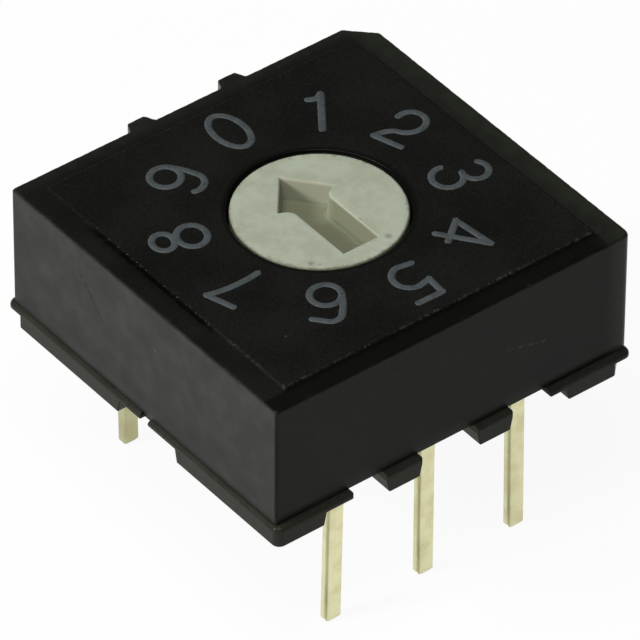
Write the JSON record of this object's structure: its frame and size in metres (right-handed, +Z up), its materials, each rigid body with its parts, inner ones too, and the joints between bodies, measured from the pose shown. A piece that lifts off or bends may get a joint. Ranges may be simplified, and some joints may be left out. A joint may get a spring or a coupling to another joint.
{
  "type": "rotary dip switch",
  "caption": "Square through-hole rotary coded switch with a raised black face, printed figures and a turning pale dial with an arrow-shaped driver slot.",
  "frame": {"origin": "on the dial's axis, in the plane of the undersides of the feet, which is the plane that meets the board; it is also the middle of the pin pattern", "axes": "+Z up out of the board along the dial's axis, the pin rows run along Y at -X and +X, the arrow and the figure 0 are towards -X, and the cut corner is at -X +Y"},
  "size_m": [0.0099, 0.01, 0.008],
  "materials": {
    "black_plastic": "fine matt moulded plastic",
    "base_plastic": "matt moulded plastic, a little greyer",
    "dial_plastic": "off-white moulded plastic",
    "grey_ink": "grey print",
    "plated_pin": "pale plated brass",
    "plated_contact": "gold-plated copper alloy",
    "spring_steel": "spring steel strip",
    "seal_rubber": "soft black rubber"
  },
  "bodies": {
    "housing": {"case": "black_plastic", "base": "base_plastic", "seal_ring": "seal_rubber", "figures": "grey_ink", "click_spring_back": "spring_steel", "click_spring_front": "spring_steel", "terminal_1": "plated_pin", "terminal_2": "plated_pin", "terminal_4": "plated_pin", "terminal_8": "plated_pin", "terminal_common_left": "plated_pin", "terminal_common_right": "plated_pin", "contact_1": "plated_contact", "contact_2": "plated_contact", "contact_4": "plated_contact", "contact_8": "plated_contact", "contact_common_left": "plated_contact", "contact_common_right": "plated_contact"},
    "dial": {"dial": "dial_plastic", "code_plate": "plated_contact"}
  },
  "joints": [
    {"name": "dial_turn", "type": "hinge", "parent": "housing", "child": "dial", "pos_m": [0, 0, 0], "axis": [0, 0, 1], "continuous": true, "deforming": ["click_spring_back", "click_spring_front"]}
  ]
}
